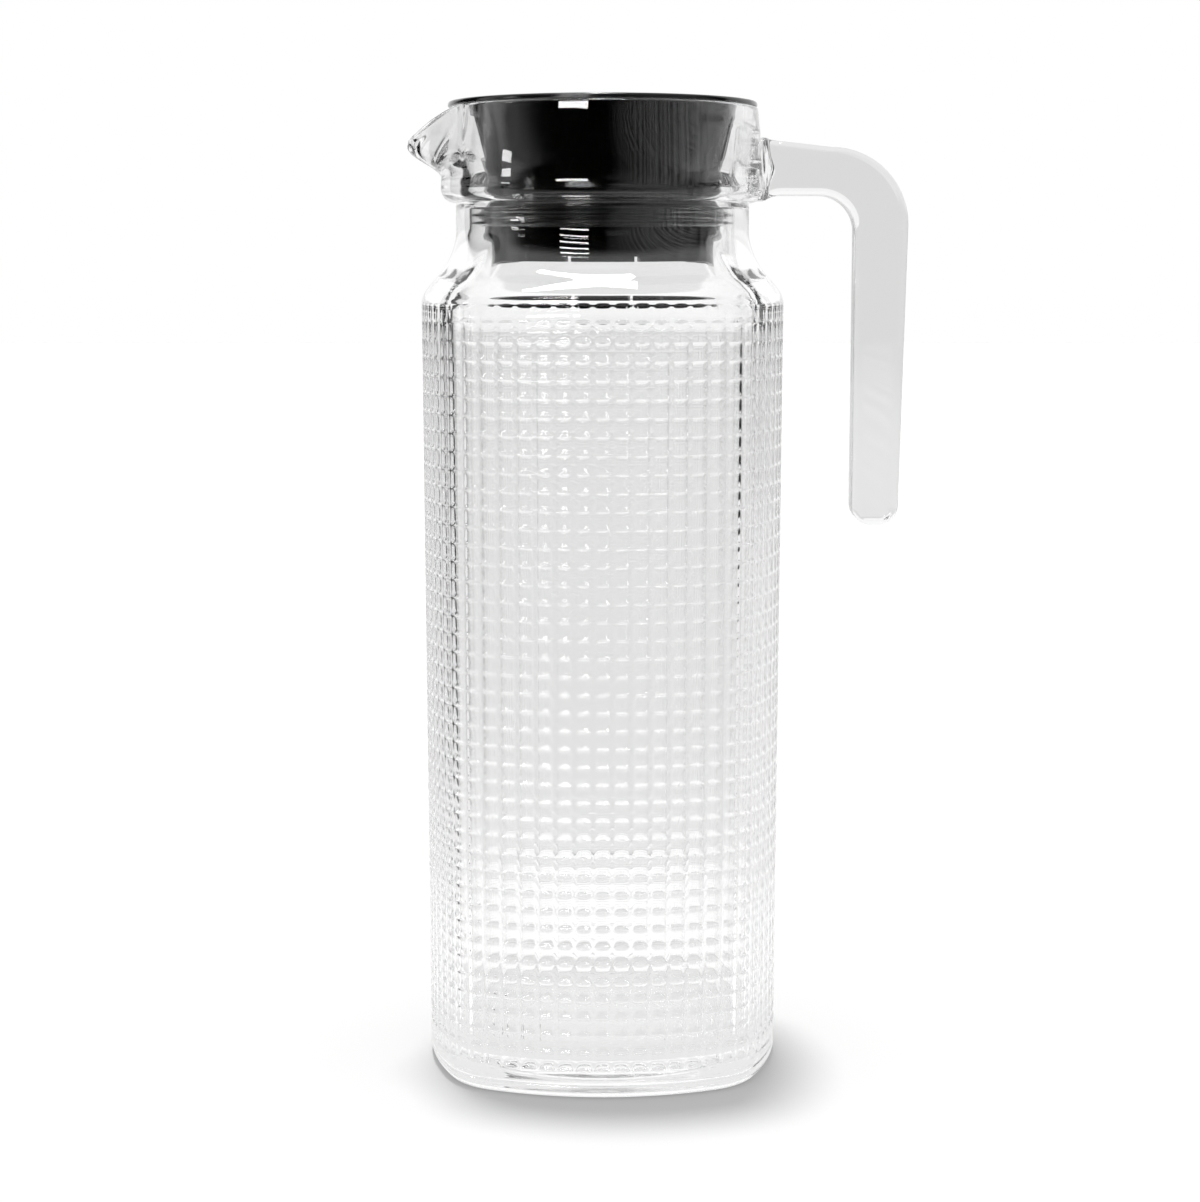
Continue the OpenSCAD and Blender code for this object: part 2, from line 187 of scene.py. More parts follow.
class VesselSizes(PropertyGroup):
    """Sizes of the glass vessel"""

    body_w: length("Body width", "Width across two faces at the top of the panels", 96.58)
    foot_w: length("Foot width", "Width across two faces at the foot", 94.8)
    face_r: length("Face bow", "Radius of the outward bow of each face", 78)
    corner_r: length("Corner radius", "Radius of the four upright corners", 19)
    wall_t: length("Wall", "Thickness of the side walls", 3.6)
    floor_t: length("Floor", "Thickness of the glass in the floor", 8.5)
    foot_round: length("Foot rounding", "Radius at the edge of the foot", 3.4)
    floor_round: length("Floor rounding", "Radius between floor and walls inside", 7)
    push_up: length("Push-up", "Depth of the hollow under the foot", 1.6)
    push_up_d: length("Push-up width", "Diameter of the hollow under the foot", 66)
    panel_top: length("Panel top", "Height of the top of the patterned panels", 206)
    shoulder_h: length("Shoulder height", "Height of the shoulder", 19)
    waist_d: length("Waist", "Outer diameter of the waist", 78)
    waist_h: length("Waist height", "Height of the waist", 7)
    bore_d: length("Bore", "Bore through the waist", 70.2)
    collar_d: length("Collar", "Outer diameter of the collar at its lower edge", 86)
    rim_d: length("Rim", "Outer diameter of the rim", 82.6)
    rim_t: length("Rim thickness", "Thickness of the glass at the rim", 3.7)
    collar_h: length("Collar height", "Height from the waist to the rim", 25)
    collar_round: length("Collar rounding", "Height of the rounding under the collar", 3.6)
    rim_round: length("Rim rounding", "Radius of the edges of the rim", 0.8)
    lip_reach: length("Lip reach", "Reach of the pouring lip beyond the rim", 10.39)
    lip_drop: length("Lip drop", "Drop of the tip of the lip below the rim", 8.6)
    lip_w: length("Lip width", "Width of the lip where it leaves the rim", 44)
    lip_depth: length("Lip depth", "Depth at which the lip starts to leave the collar", 18.6)
    grid_low: length("Grid start", "Height of the lowest line of the grid", 8)
    grid_depth: length("Grid depth", "Depth of a square of the grid below its ridges", 0.57)
    rows: IntProperty(name="Rows", description="Rows of squares", default=42, min=1)
    columns: IntProperty(name="Columns", description="Columns of squares round the body", default=64, min=8)
    line_z: length("Foot line", "Height of the fine line above the foot", 3.9)
    line_depth: length("Foot line depth", "Depth of the fine line above the foot", 0.2)


class HandleSizes(PropertyGroup):
    """Sizes of the glass handle"""

    arm_drop: length("Arm drop", "Drop of the top of the arm below the rim", 8.8)
    arm_h: length("Arm height", "Height of the arm", 14.2)
    arm_slope: length("Arm slope", "Drop of the arm from the neck to the bend", 1.5)
    reach: length("Reach", "Reach of the handle beyond the rim", 39.8)
    span: length("Length", "From the top of the arm to the lower end", 102)
    leg_w: length("Leg width", "Width of the leg below the bend", 14)
    leg_end_w: length("Leg end", "Width of the leg at its lower end", 12.4)
    bend_r: length("Outer bend", "Outer radius of the bend", 20.5)
    bend_in_r: length("Inner bend", "Inner radius of the bend", 9.5)
    thick: length("Thickness", "Thickness front to back", 12)
    edge_r: length("Edges", "Radius of the long edges", 1.8)
    end_r: length("End corners", "Radius of the corners at the lower end", 5.2)
    root_flare: length("Root flare", "Growth of the arm towards the collar, front and back", 2.6)
    root_rise: length("Root rise", "Rise of the top of the arm towards the collar", 0.8)
    root_fall: length("Root fall", "Fall of the underside of the arm towards the collar", 1.4)
    root_len: length("Root length", "Length over which the arm grows", 4.5)
    root_least: length("Root corner", "Length over which the arm widens at its upper and lower edges", 0.4)
    root_nose: length("Root nose", "Length over which the arm widens at mid-height", 2.6)
    seam: length("Seam", "Fine line between the handle and the collar", 0.03)


class LidSizes(PropertyGroup):
    """Sizes of the lid and its sealing ring"""

    disc_d: length("Disc", "Diameter of the disc", 82)
    disc_t: length("Disc thickness", "Thickness of the disc", 1.4)
    disc_edge: length("Disc edge", "Radius of the upper edge of the disc", 0.7)
    recess_h: length("Recess", "Depth of the recess in the disc", 0.3)
    border_w: length("Border", "Width of the border round the recess", 5)
    skirt_gap: length("Skirt gap", "Gap between the skirt and the inside of the rim", 1.6)
    skirt_room: length("Ring space", "Space between the lower skirt and the bore", 3.7)
    taper_h: length("Taper", "Height of the tapered part of the skirt", 21)
    skirt_len: length("Skirt length", "Length of the skirt below the disc", 41.4)
    skirt_t: length("Skirt thickness", "Thickness of the skirt", 2.4)
    window_h: length("Window height", "Height of the windows in the skirt", 12)
    window_w: length("Window width", "Width of the pouring window", 30)
    window_land: length("Window land", "Height between a window and the disc", 4)
    slots: IntProperty(name="Slots", description="Number of straining slots", default=7, min=1)
    slot_w: length("Slot width", "Width of one straining slot", 2)
    slot_pitch: length("Slot pitch", "Distance from one slot to the next", 4.2)
    notch_h: length("Notch height", "Height of the notches in the lower edge", 3)
    notch_w: length("Notch width", "Width of the notches", 1.5)
    moulded_edge: length("Moulded edge", "Radius of the small edges of the moulding", 0.25)
    seal_h: length("Ring height", "Height of the sealing ring", 6.4)
    groove_depth: length("Groove", "Depth of the groove that holds the ring", 0.9)
    seal_t: length("Ring thickness", "Thickness of the ring between its fins", 1.9)
    fins: IntProperty(name="Fins", description="Number of fins", default=3, min=1)
    fin_t: length("Fin thickness", "Thickness of a fin at its edge", 0.6)
    fin_gap: length("Fin gap", "Gap between a fin and the bore", 0.08)
    groove_gap: length("Groove gap", "Gap between the ring and its groove", 0.05)


class Finishes(PropertyGroup):
    """Colours and finishes"""

    glass: colour("Glass", "Tint of the clear glass", (0.96, 0.96, 0.96))
    thick_glass: colour("Handle glass", "Tint of the thick glass of the handle", (0.9, 0.9, 0.9))
    glass_ior: FloatProperty(
        name="Glass IOR", description="Refractive index of the glass", default=1.5, min=1)
    ripple: length("Glass ripple", "Height of the faint waves in the pressed glass", 0.03)
    plastic: colour("Lid", "Colour of the moulded lid", (0.006, 0.006, 0.0065))
    plastic_rough: share("Lid roughness", "Roughness of the moulded lid", 0.13)
    silicone: colour("Ring", "Tint of the clear sealing ring", (0.93, 0.94, 0.94))
    silicone_rough: share("Ring roughness", "Roughness of the sealing ring", 0.09)


class Studio(PropertyGroup):
    """Camera, floor and light"""

    camera_y: length("Camera distance", "Distance of the camera in front of the vessel", 670)
    camera_z: length("Camera height", "Height of the camera above the floor", 216.7)
    camera_x: length("Camera side", "Place of the camera to the side", -0.68)
    tilt: angle("Tilt", "Downward tilt of the camera", 7.8)
    lens: FloatProperty(name="Lens", description="Focal length in millimetres", default=74.43)
    floor_size: length("Floor", "Half width of the floor", 6000)
    floor_grey: share("Floor colour", "Brightness of the floor's own colour", 0.8)
    floor_glow: glow("Floor white", "What the white floor adds to the camera", 0.33)
    table_r: length("Table", "Distance to which the glass shows a white table", 215)
    table_edge: length("Table edge", "Width of the dark band past the table", 28)
    table_glow: glow("Table white", "White table, as the glass shows it", 1.22)
    # Painted shade under the foot: the glass sees no real shadow on the floor, and this stands in for it
    painted_foot_shade: glow("Table under the foot", "Shaded table under the foot, as the glass shows it", 0.84)
    edge_glow: glow("Edge dark", "Dark band past the table, as the glass shows it", 0.4)
    ground_glow: glow("Ground", "Grey ground past the table, as the glass shows it", 0.93)
    soft_light: glow("Soft light", "Strength of the light from all round", 0.3)
    backdrop: glow("Backdrop", "Backdrop, as the glass shows it", 0.84)
    upper: glow("Upper backdrop", "Backdrop above eye level, as the glass shows it", 1.09)
    front_dark: glow("Room", "Dark room in front, as mirrors show it", 0.0)
    right_room: glow("Right of the room", "Grey room on the right, as mirrors show it", 0.32)
    ceiling: glow("Ceiling", "Pale ceiling, as the glass shows it", 0.9)
    left_card: glow("Left card", "Dark card on the left, as the glass shows it", 0.0)
    right_card: glow("Right card", "Dark card on the right, as the glass shows it", 0.0)
    key_light: glow("Overhead light", "Strength of the light from above", 1.9)
    key_size: angle("Overhead size", "Width of the light from above", 7)
    glint_power: power("Glint lamp", "Power of each narrow lamp in front", 1.5)
    side_power: power("Side glints", "Power of each narrow lamp on the left", 0.2)
    top_power: power("Top lamp", "Power of the mirrored lamp overhead", 16)


def smooth_curve(points, count):
    """Evenly spaced points on a smooth curve through points whose first value rises"""
    x, y = np.array(points, float).T
    h = np.diff(x)
    slope = np.diff(y) / h
    m = np.concatenate([slope[:1], (slope[1:] + slope[:-1]) / 2, slope[-1:]])
    for i, s in enumerate(slope):
        if s == 0:
            m[i] = m[i + 1] = 0
        else:
            a, b = m[i] / s, m[i + 1] / s
            if a * a + b * b > STEEPEST**2:
                k = STEEPEST / sqrt(a * a + b * b)
                m[i], m[i + 1] = k * a * s, k * b * s
    at = np.linspace(x[0], x[-1], count)
    i = np.clip(np.searchsorted(x, at, side="right") - 1, 0, len(h) - 1)
    t = (at - x[i]) / h[i]
    out = (
        (2 * t**3 - 3 * t**2 + 1) * y[i]
        + (t**3 - 2 * t**2 + t) * h[i] * m[i]
        + (3 * t**2 - 2 * t**3) * y[i + 1]
        + (t**3 - t**2) * h[i] * m[i + 1]
    )
    return list(zip(at, out))


def bowed_radius(angles, w, c, f):
    """Polar radius of a bowed square: half width w, corner radius c, face radius f"""
    p = np.abs((angles + pi / 4) % (pi / 2) - pi / 4)
    e = f - w
    k = (sqrt(2 * (f - c) ** 2 - e * e) - e) / 2
    turn = np.arctan2(f * k / (f - c), f * (k + e) / (f - c) - e)
    d = k * sqrt(2)
    face = np.sqrt(f * f - (e * np.sin(p)) ** 2) - e * np.cos(p)
    corner = np.sqrt(np.maximum(c * c - (d * np.sin(pi / 4 - p)) ** 2, 0)) + d * np.cos(pi / 4 - p)
    return np.where(p < turn, face, corner)


def smooth_mesh(name, points, faces):
    """Mesh of points and faces, shaded smooth"""
    mesh = bpy.data.meshes.new(name)
    mesh.from_pydata(points, [], faces)
    mesh.validate()
    mesh.shade_smooth()
    return mesh


def skin_mesh(name, rings, low_centre, high_centre):
    """Closed mesh through rings of points, with a point in the middle of each end"""
    m, n = len(rings), len(rings[0])
    points = np.concatenate([*rings, [low_centre, high_centre]])
    grid = np.arange(m * n).reshape(m, n)
    nxt = np.roll(grid, -1, axis=1)
    quads = np.stack([grid[:-1], nxt[:-1], nxt[1:], grid[1:]], axis=-1).reshape(-1, 4)
    faces = quads.tolist()
    faces += [(b, a, m * n) for a, b in zip(grid[0].tolist(), nxt[0].tolist())]
    faces += [(a, b, m * n + 1) for a, b in zip(grid[-1].tolist(), nxt[-1].tolist())]
    return smooth_mesh(name, points.tolist(), faces)


def add_piece(name, mesh, body, solids, material):
    """Object that stands for solids of the frame and rides on their body"""
    obj = bpy.data.objects.new(name, mesh)
    bpy.context.scene.collection.objects.link(obj)
    obj.data.materials.append(material)
    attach(obj, body)
    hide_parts(*solids)
    return obj


class VesselForm:
    """Rings of the glass vessel"""

    def __init__(self, p):
        self.p = p
        self.waist_z = p.panel_top + p.shoulder_h
        self.collar_z = self.waist_z + p.waist_h
        self.rim_z = self.collar_z + p.collar_h
        self.waist_r = p.waist_d / 2
        self.bore_r = p.bore_d / 2
        self.rim_r = p.rim_d / 2
        self.rim_in_r = self.rim_r - p.rim_t
        self.inner_top = p.panel_top - p.wall_t / 2
        self.angles, self.across = self.columns()

    def columns(self):
        """Angle of each line of points round the body, and its place across its square"""
        p = self.p
        fine = np.linspace(0, 2 * pi, GIRTH_STEPS + 1)
        r = bowed_radius(fine, p.body_w / 2, p.corner_r, p.face_r)
        step = np.hypot(np.diff(r * np.cos(fine)), np.diff(r * np.sin(fine)))
        run = np.concatenate([[0], np.cumsum(step)])
        run *= p.columns / run[-1]
        places = np.array([k + t / 2 for k in range(p.columns) for t in ACROSS_STEPS])
        return np.interp(places % p.columns, run, fine), np.tile(ACROSS_STEPS, p.columns)

    def half_w(self, z):
        """Half the width of the body across two faces"""
        p = self.p
        return (p.foot_w + (p.body_w - p.foot_w) * min(z / p.panel_top, 1)) / 2

    def ring(self, r, z):
        """Points round the axis at radius r and height z"""
        level = np.zeros_like(self.angles) + z
        return np.stack([r * np.cos(self.angles), r * np.sin(self.angles), level], axis=1)

    def body_ring(self, z, inset, round_share=0, round_r=0, up=None, dip_share=1, least=0):
        """Ring of the body; up is the place of z across its square, from -1 to 1, where the grid dips it"""
        p = self.p
        r = bowed_radius(self.angles, self.half_w(z) - inset, p.corner_r - inset, p.face_r - inset)
        r = (1 - round_share) * r + round_share * round_r
        if up is not None:
            dip = 1 - np.minimum(np.abs(self.across) / DIP_SHARE, 1) ** DIP_POWER
            r = r - dip_share * p.grid_depth * dip * (1 - abs(up) ** DIP_POWER)
        return self.ring(np.maximum(r, least), z)

    def neck_ring(self, z, r, w):
        """Ring of the neck, with the lip drawn out of it"""
        p = self.p
        t = min(max(1 - (self.rim_z - z) / p.lip_depth, 0), 1)
        lift = sin(pi / 2 * min(t / LIP_FULL_SHARE, 1)) ** LIP_SWELL
        spread = np.abs(self.angles % (2 * pi) - pi) / asin(min(w / p.rim_d, 1))
        s = np.where(spread < 1, np.cos(pi / 2 * np.minimum(spread, 1)), 0)
        s = np.clip(s, 0, 1) ** LIP_POINT
        return self.ring(r + p.lip_reach * s * lift, z - p.lip_drop * s**LIP_DIP * t)

    def collar_profile(self):
        """Heights and radii of the outside of the collar, from under its rounding to the rounded rim"""
        p = self.p
        swell = p.collar_d / 2 - self.waist_r
        under = [
            (self.collar_z + p.collar_round * (1 - cos(q)), self.waist_r + swell * sin(q))
            for q in QUARTER
        ]
        first = (p.collar_round / p.collar_h, 0)
        last = (1 - p.rim_round / p.collar_h, 1)
        side = [
            (self.collar_z + s * p.collar_h, (p.collar_d + t * (p.rim_d - p.collar_d)) / 2)
            for s, t in smooth_curve((first, *COLLAR_SHARES, last), COLLAR_RINGS)
        ]
        return under + side[1:]

    def collar_radius(self, z):
        """Outer radius of the collar away from the lip"""
        heights, radii = np.array(self.collar_profile()).T
        return np.interp(z, heights, radii)

    def outer(self):
        """Rings of the outside, from the foot up to the rim"""
        p = self.p
        rings = [
            self.body_ring(p.foot_round * (1 - cos(q)), p.foot_round * (1 - sin(q)))
            for q in QUARTER
        ]
        half_line = 2 * p.line_depth
        line_top = p.line_z + half_line
        rings += [self.body_ring(p.line_z + t * half_line, cut * p.line_depth) for t, cut in FOOT_LINE]
        rings += [self.body_ring(line_top + k * (p.grid_low - line_top), 0) for k in (0.25, 0.6, 0.9)]
        pitch = (p.panel_top - p.grid_low) / p.rows
        for row in range(p.rows):
            dip_share = (1, *TOP_ROW_SHARES[::-1])[max(0, row - p.rows + 1 + len(TOP_ROW_SHARES))]
            for t in UP_STEPS:
                z = p.grid_low + pitch * (row + (t + 1) / 2)
                rings.append(self.body_ring(z, 0, up=t, dip_share=dip_share))
        rings.append(self.body_ring(p.panel_top, 0))
        way_in = p.body_w / 2 - self.waist_r
        for s, t in smooth_curve(SHOULDER_SHARES, CURVE_RINGS)[1:]:
            rings.append(self.body_ring(p.panel_top + s * p.shoulder_h, t * way_in, t, self.waist_r))
        for k in (0.35, 0.7):
            rings.append(self.neck_ring(self.waist_z + k * p.waist_h, self.waist_r, p.lip_w))
        rings += [self.neck_ring(z, r, p.lip_w) for z, r in self.collar_profile()]
        for q in QUARTER[1:]:
            z = self.rim_z - p.rim_round * (1 - sin(q))
            rings.append(self.neck_ring(z, self.rim_r - p.rim_round * (1 - cos(q)), p.lip_w))
        return rings

    def inner(self):
        """Rings of the inside, from the rim down to the floor"""
        p = self.p
        throat_w = p.lip_w - 2 * p.rim_t
        rings = []
        for q in QUARTER:
            z = self.rim_z - p.rim_round * (1 - cos(q))
            rings.append(self.neck_ring(z, self.rim_in_r + p.rim_round * (1 - sin(q)), throat_w))
        throat = smooth_curve((*THROAT_SHARES, (1 - p.rim_round / p.collar_h, 1)), CURVE_RINGS)
        for s, t in throat[-2::-1]:
            r = self.bore_r + t * (self.rim_in_r - self.bore_r)
            rings.append(self.neck_ring(self.collar_z + s * p.collar_h, r, throat_w))
        way_in = p.body_w / 2 - p.wall_t - self.bore_r
        for s, t in smooth_curve(SHOULDER_SHARES, CURVE_RINGS)[::-1]:
            z = self.inner_top + s * p.shoulder_h
            least = self.bore_r if z > self.waist_z - p.shoulder_h / 2 else 0
            rings.append(self.body_ring(z, p.wall_t + t * way_in, t, self.bore_r, least=least))
        low = p.floor_t + p.floor_round
        for k in np.linspace(1, 0, WALL_RINGS)[1:-1]:
            rings.append(self.body_ring(low + k * (self.inner_top - low), p.wall_t))
        for q in QUARTER:
            inset = p.wall_t + p.floor_round * (1 - cos(q))
            rings.append(self.body_ring(p.floor_t + p.floor_round * (1 - sin(q)), inset))
        floor = self.body_ring(p.floor_t, p.wall_t + p.floor_round)
        for k in (0.8, 0.5, 0.2):
            rings.append(floor * (k, k, 1))
        return rings

    def underside(self):
        """Rings from the middle of the hollow under the foot out to the foot"""
        p = self.p
        hollow_r = p.push_up_d / 2
        rings = [self.ring(k * hollow_r, p.push_up) for k in (0.2, 0.5, 0.8)]
        rings += [
            self.ring(hollow_r - 2 * p.push_up * (1 - s), p.push_up * (1 - s * s * (3 - 2 * s)))
            for s in np.linspace(0, 1, 9)
        ]
        foot = self.body_ring(0, p.foot_round)
        hollow = rings[-1]
        rings += [hollow + k * (foot - hollow) for k in (0.3, 0.7)]
        return rings


def node(tree, kind, **settings):
    """Shader node with its settings"""
    made = tree.nodes.new(kind)
    for key, value in settings.items():
        setattr(made, key, value)
    return made


def calc(tree, operation, a, b=None):
    """Math node of one or two values, each a number or a socket"""
    made = node(tree, "ShaderNodeMath", operation=operation)
    for i, value in enumerate((a, b)):
        if hasattr(value, "links"):
            tree.links.new(value, made.inputs[i])
        elif value is not None:
            made.inputs[i].default_value = value
    return made.outputs[0]


def ramp(tree, value, low, high, at_low=0.0, at_high=1.0):
    """Smooth step from one value to another"""
    made = node(tree, "ShaderNodeMapRange", interpolation_type="SMOOTHSTEP")
    tree.links.new(value, made.inputs["Value"])
    for key, v in (("From Min", low), ("From Max", high), ("To Min", at_low), ("To Max", at_high)):
        made.inputs[key].default_value = v
    return made.outputs[0]


def surface_material(name):
    """Empty material with a Principled surface"""
    material = bpy.data.materials.new(name)
    material.use_nodes = True
    return material, material.node_tree, material.node_tree.nodes["Principled BSDF"]


def noise(tree, scale, detail, rough=0.5):
    """Noise fixed to the piece"""
    place = node(tree, "ShaderNodeTexCoord")
    made = node(tree, "ShaderNodeTexNoise")
    made.inputs["Scale"].default_value = scale
    made.inputs["Detail"].default_value = detail
    made.inputs["Roughness"].default_value = rough
    tree.links.new(place.outputs["Object"], made.inputs["Vector"])
    return made.outputs["Fac"]


def bump(tree, surface, heights, distance, strength=1.0):
    """Bump from a height"""
    made = node(tree, "ShaderNodeBump")
    made.inputs["Strength"].default_value = strength
    made.inputs["Distance"].default_value = distance
    tree.links.new(heights, made.inputs["Height"])
    tree.links.new(made.outputs["Normal"], surface.inputs["Normal"])


def clear_glass(name, finish, tint, waves):
    """Clear pressed glass with the faint waves that the mould leaves"""
    material, tree, surface = surface_material(name)
    surface.inputs["Base Color"].default_value = (*tint, 1)
    surface.inputs["Transmission Weight"].default_value = 1
    surface.inputs["IOR"].default_value = finish.glass_ior
    fine = noise(tree, FINE_WAVES * waves, 2.0)
    tree.links.new(ramp(tree, fine, *GLASS_SPAN, *GLASS_ROUGH), surface.inputs["Roughness"])
    bump(tree, surface, noise(tree, waves, 1.0), finish.ripple)
    return material


def moulded_surface(tree, surface, look, colours, rough):
    """Colour and roughness that drift softly over a moulded piece, under a fine grain"""
    clouds, (dark, pale), (grains, height, strength) = look
    cloud = noise(tree, clouds, 4.0, 0.6)
    tint = node(tree, "ShaderNodeMix", data_type="RGBA")
    tint.inputs[MIX_LOW].default_value = (*(dark * c for c in colours), 1)
    tint.inputs[MIX_HIGH].default_value = (*(pale * c for c in colours), 1)
    tree.links.new(cloud, tint.inputs[0])
    tree.links.new(tint.outputs[MIX_OUT], surface.inputs["Base Color"])
    drift = ramp(tree, cloud, *CLOUD_SPAN, *(rough * k for k in ROUGH_SHARES))
    tree.links.new(drift, surface.inputs["Roughness"])
    bump(tree, surface, noise(tree, grains, 2.0), height, strength)


def moulded_plastic(name, finish):
    """Black moulded plastic with a fine grain and faint clouds"""
    material, tree, surface = surface_material(name)
    moulded_surface(tree, surface, PLASTIC_LOOK, finish.plastic, finish.plastic_rough)
    return material


def clear_silicone(name, finish):
    """Soft clear silicone, a little milky, with a fine powdery grain"""
    material, tree, surface = surface_material(name)
    moulded_surface(tree, surface, SILICONE_LOOK, finish.silicone, finish.silicone_rough)
    surface.inputs["Transmission Weight"].default_value = SILICONE_CLEAR
    surface.inputs["IOR"].default_value = SILICONE_IOR
    return material


class PITCHER_OT_vessel(Operator):
    """Builds the glass vessel with its grid of squares, neck and lip"""

    bl_idname = "pitcher.vessel"
    bl_label = "Vessel"

    def execute(self, context):
        form = VesselForm(context.scene.pitcher_vessel)
        rings = form.underside() + form.outer() + form.inner()
        p = form.p
        mesh = skin_mesh("Glass_Vessel", rings, (0, 0, p.push_up), (0, 0, p.floor_t))
        finish = context.scene.pitcher_finish
        glass = clear_glass("Pressed_Glass", finish, finish.glass, VESSEL_WAVES)
        add_piece("Glass_Vessel", mesh, "jug", ("glass_body",), glass)
        return {"FINISHED"}


class PITCHER_OT_handle(Operator):
    """Builds the glass handle, from its root on the collar to its free end"""

    bl_idname = "pitcher.handle"
    bl_label = "Handle"

    def execute(self, context):
        form = VesselForm(context.scene.pitcher_vessel)
        h = context.scene.pitcher_handle
        arm_top = form.rim_z - h.arm_drop
        arm_low = arm_top - h.arm_h
        out_x = form.rim_r + h.reach
        in_x = out_x - h.leg_w
        end_z = arm_top - h.span
        bend_x = out_x - h.bend_r
        plain_x = form.p.collar_d / 2 + h.root_len

        def section(outer, inner, growth=0):
            """Rounded rectangle through an outer and an inner point of the handle's own plane"""
            outer, inner = np.array(outer), np.array(inner)
            half = np.linalg.norm(outer - inner) / 2
            mid = (outer + inner) / 2
            along = (outer - inner) / (2 * half)
            half_t = h.thick / 2 + growth
            e = min(h.edge_r, half * CORNER_SHARE)
            points = []
            for c in range(4):
                side = 1 if c in (0, 3) else -1
                front = -1 if c < 2 else 1
                for k in range(CORNER_POINTS):
                    a = pi / 2 * (c + k / (CORNER_POINTS - 1))
                    points.append((side * (half - e) + e * cos(a), front * (half_t - e) - e * sin(a)))
                if c in (0, 2):
                    steps = np.linspace(1, -1, FACE_POINTS)[1:-1]
                    points += [(q * side * (half - e), front * half_t) for q in steps]
            return np.array([(mid[0] + u * along[0], v, mid[1] + u * along[1]) for u, v in points])

        def arm_section(x):
            """Section of the arm; its front and back grow in a point that reaches out at mid-height"""
            f = min(1, max(0, (plain_x - x) / h.root_len)) ** RISE_POWER
            points = section((x, arm_top + h.root_rise * f), (x, arm_low - h.root_fall * f))
            level = 1 - np.abs(2 * (points[:, 2] - arm_low) / h.arm_h - 1)
            nose = np.clip(level, 0, 1) ** NOSE_POWER
            reach = h.root_least + (h.root_nose - h.root_least) * nose
            start = form.p.collar_d / 2 + reach
            grown = np.clip((start - x) / reach, 0, 1) ** FLARE_POWER * h.root_flare
            points[:, 1] *= 1 + grown / (h.thick / 2)
            return points

        def on_collar(points):
            """The same points moved along X to the outside of the collar"""
            r = form.collar_radius(points[:, 2]) + h.seam
            points = points.copy()
            points[:, 0] = np.sqrt(np.maximum(r * r - points[:, 1] ** 2, 0))
            return points

        def arm_ring(places):
            """Ring of the arm whose points stand each at their own place along X"""
            return np.array([arm_section(x)[i] for i, x in enumerate(places)])

        root = arm_section(form.p.collar_d / 2)
        for _ in range(SEAT_ROUNDS):
            root = arm_ring(on_collar(root)[:, 0])
        root = on_collar(root)
        centre = root.mean(axis=0)
        rings = [on_collar(centre + k * (root - centre)) for k in (0.25, 0.5, 0.75, 0.93)]
        rings.append(root)
        for k in np.linspace(0, 1, ROOT_RINGS)[1:-1] ** SPACING_POWER:
            rings.append(arm_ring(root[:, 0] + k * (plain_x - root[:, 0])))
        rings.append(arm_section(plain_x))
        bend_top = arm_top - h.arm_slope
        for k in np.linspace(0, 1, ARM_RINGS)[1:-1]:
            outer = (plain_x + k * (bend_x - plain_x), arm_top + k * (bend_top - arm_top))
            inner = (plain_x + k * (in_x - h.bend_in_r - plain_x), arm_low)
            rings.append(section(outer, inner))
        for a in np.linspace(pi / 2, 0, BEND_RINGS):
            outer = (bend_x + h.bend_r * cos(a), bend_top - h.bend_r * (1 - sin(a)))
            inner = (in_x - h.bend_in_r * (1 - cos(a)), arm_low - h.bend_in_r * (1 - sin(a)))
            rings.append(section(outer, inner))
        start_out, start_in = np.array(outer), np.array(inner)
        low_out = np.array((out_x - (h.leg_w - h.leg_end_w), end_z + h.end_r))
        low_in = np.array((in_x, end_z + h.end_r))
        for k in np.linspace(0, 1, LEG_RINGS)[1:-1]:
            outer = start_out + k * (low_out - start_out)
            rings.append(section(outer, start_in + k * (low_in - start_in)))
        for a in np.linspace(0, pi / 2, END_RINGS):
            z = end_z + h.end_r * (1 - sin(a))
            cut = h.end_r * (1 - cos(a))
            short = max(1 - (z - end_z) / h.edge_r, 0)
            thinner = h.edge_r * (1 - sqrt(1 - short**2))
            rings.append(section((low_out[0] - cut, z), (in_x + cut, z), -thinner))
        last = rings[-1]
        tip = last.mean(axis=0)
        rings += [tip + k * (last - tip) for k in (0.6, 0.25)]
        first = on_collar(centre[None])[0]
        mesh = skin_mesh("Glass_Handle", rings, first, tip)
        finish = context.scene.pitcher_finish
        glass = clear_glass("Handle_Glass", finish, finish.thick_glass, HANDLE_WAVES)
        obj = add_piece("Glass_Handle", mesh, "jug", ("glass_handle",), glass)
        # The photograph shows no shadow of the handle on the floor
        obj.visible_shadow = False
        return {"FINISHED"}


